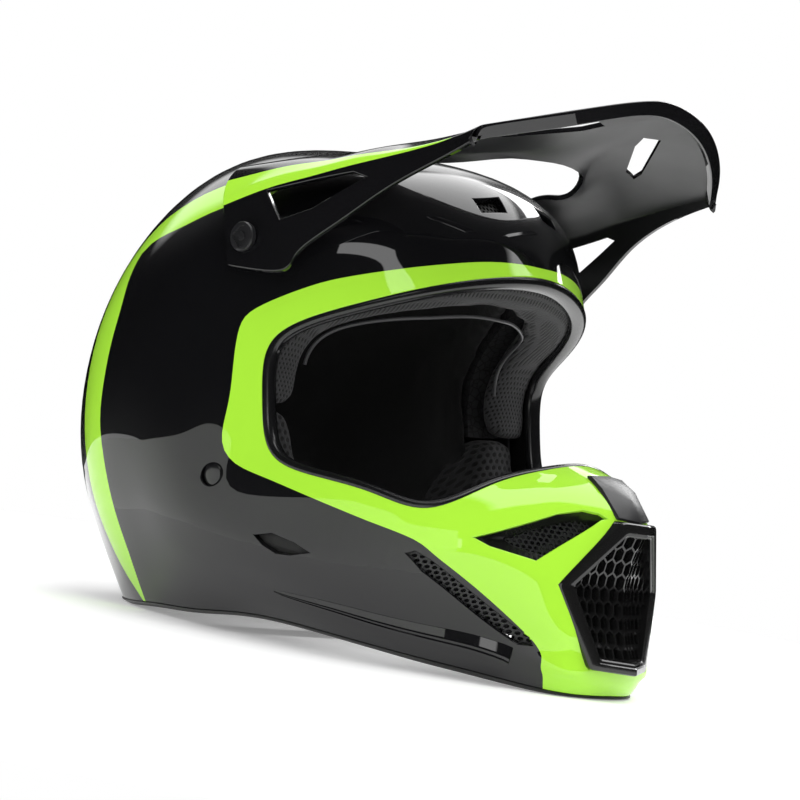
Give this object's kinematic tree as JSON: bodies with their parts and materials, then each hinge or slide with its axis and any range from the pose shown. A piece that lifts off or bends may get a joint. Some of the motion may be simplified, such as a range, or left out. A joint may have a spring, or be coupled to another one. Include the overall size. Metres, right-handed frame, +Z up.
{
  "type": "motocross helmet",
  "caption": "Full-face off-road helmet with a vented chin bar, wide eyeport, tilting peak, padded liner and buckled chin strap.",
  "frame": {"origin": "on the surface the helmet stands on, under the middle of its length and width", "axes": "+Z up, -Y towards the front of the helmet, +X towards the wearer's left"},
  "size_m": [0.2548, 0.3356, 0.29],
  "materials": {
    "shell_paint": "gloss clear coat over black with fluorescent yellow-green bands",
    "black_rubber": "semi-gloss moulded",
    "liner_foam": "expanded polystyrene bead skin",
    "liner_fabric": "perforated knit mesh and brushed lining",
    "vent_mesh": "moulded hexagonal mesh",
    "satin_plastic": "satin moulded",
    "black_steel": "black-coated",
    "webbing": "woven nylon"
  },
  "bodies": {
    "helmet_shell": {"outer_shell": "shell_paint", "eps_liner": "liner_foam", "chin_bar_foam": "liner_foam", "crown_comfort_liner": "liner_fabric", "brow_pad": "liner_fabric", "neck_roll": "liner_fabric", "eyeport_trim": "black_rubber", "lower_edge_trim": "black_rubber", "chin_plaque": "satin_plastic", "mouth_vent_frame": "satin_plastic", "mouth_vent_grille": "satin_plastic", "mouth_filter": "liner_foam", "left_cheek_pad": "liner_fabric", "right_cheek_pad": "liner_fabric", "left_cheek_pad_plate": "satin_plastic", "right_cheek_pad_plate": "satin_plastic", "left_front_cheek_snap": "satin_plastic", "right_front_cheek_snap": "satin_plastic", "left_rear_cheek_snap": "satin_plastic", "right_rear_cheek_snap": "satin_plastic", "left_chin_vent_mesh": "vent_mesh", "right_chin_vent_mesh": "vent_mesh", "left_jaw_vent_mesh": "vent_mesh", "right_jaw_vent_mesh": "vent_mesh", "left_cheek_vent_insert": "satin_plastic", "right_cheek_vent_insert": "satin_plastic", "left_rear_vent_grille": "vent_mesh", "right_rear_vent_grille": "vent_mesh", "left_brow_vent_mesh": "vent_mesh", "right_brow_vent_mesh": "vent_mesh", "left_strap_rivet": "black_steel", "right_strap_rivet": "black_steel", "left_rivet_washer": "black_steel", "right_rivet_washer": "black_steel", "left_peak_nut": "black_steel", "right_peak_nut": "black_steel"},
    "peak": {"peak": "shell_paint"},
    "left_screw": {"left_peak_screw": "black_steel"},
    "right_screw": {"right_peak_screw": "black_steel"},
    "chin_strap": {"long_strap": "webbing", "short_strap": "webbing", "inner_d_ring": "black_steel", "outer_d_ring": "black_steel", "left_strap_hanger": "black_steel", "right_strap_hanger": "black_steel"}
  },
  "joints": [
    {"name": "peak_tilt", "type": "hinge", "parent": "helmet_shell", "child": "peak", "pos_m": [0, 0.01267, 0.1925], "axis": [-1, 0, 0], "range_deg": [-2, 6]},
    {"name": "left_screw_turn", "type": "hinge", "parent": "helmet_shell", "child": "left_screw", "pos_m": [0.12, 0.01267, 0.1925], "axis": [1, 0, 0], "range_deg": [0, 90]},
    {"name": "right_screw_turn", "type": "hinge", "parent": "helmet_shell", "child": "right_screw", "pos_m": [-0.12, 0.01267, 0.1925], "axis": [-1, 0, 0], "range_deg": [0, 90]},
    {"name": "strap_swing", "type": "hinge", "parent": "helmet_shell", "child": "chin_strap", "pos_m": [0, 0.00767, 0.076], "axis": [1, 0, 0], "range_deg": [-15, 15]}
  ]
}
